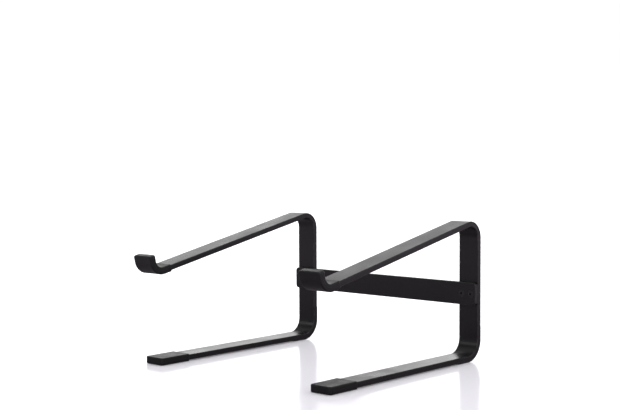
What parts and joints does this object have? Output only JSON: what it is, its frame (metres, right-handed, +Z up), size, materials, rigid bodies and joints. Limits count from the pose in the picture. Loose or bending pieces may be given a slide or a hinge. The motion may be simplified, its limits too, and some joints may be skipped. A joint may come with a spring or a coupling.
{
  "type": "laptop stand",
  "caption": "Fixed desk stand that raises and tilts a laptop: bent flat-bar side frames with front hooks, joined by a screwed crossbar, on rubber feet.",
  "frame": {"origin": "on the floor, under the centre of the overall box: half way between the side frames, and half way from the hooks' front to the rear pads' back", "axes": "+X to the user's right, +Y to the rear, away from the user, +Z up"},
  "size_m": [0.2674, 0.271, 0.154],
  "materials": {
    "powder_coat": "satin black powder coat on steel",
    "powder_coat_bar": "satin black powder coat on steel",
    "screw_black": "black oxide",
    "cap_rubber": "matte",
    "pad_rubber": "matte",
    "sleeve_rubber": "matte"
  },
  "bodies": {
    "root": {"crossbar": "powder_coat_bar", "crossbar_screw_left_inner": "screw_black", "crossbar_screw_left_outer": "screw_black", "crossbar_screw_right_inner": "screw_black", "crossbar_screw_right_outer": "screw_black", "front_foot_cap_left": "cap_rubber", "front_foot_cap_right": "cap_rubber", "hook_sleeve_left": "sleeve_rubber", "hook_sleeve_right": "sleeve_rubber", "rear_foot_pad_left": "pad_rubber", "rear_foot_pad_right": "pad_rubber", "side_frame_left": "powder_coat", "side_frame_right": "powder_coat"}
  },
  "joints": []
}
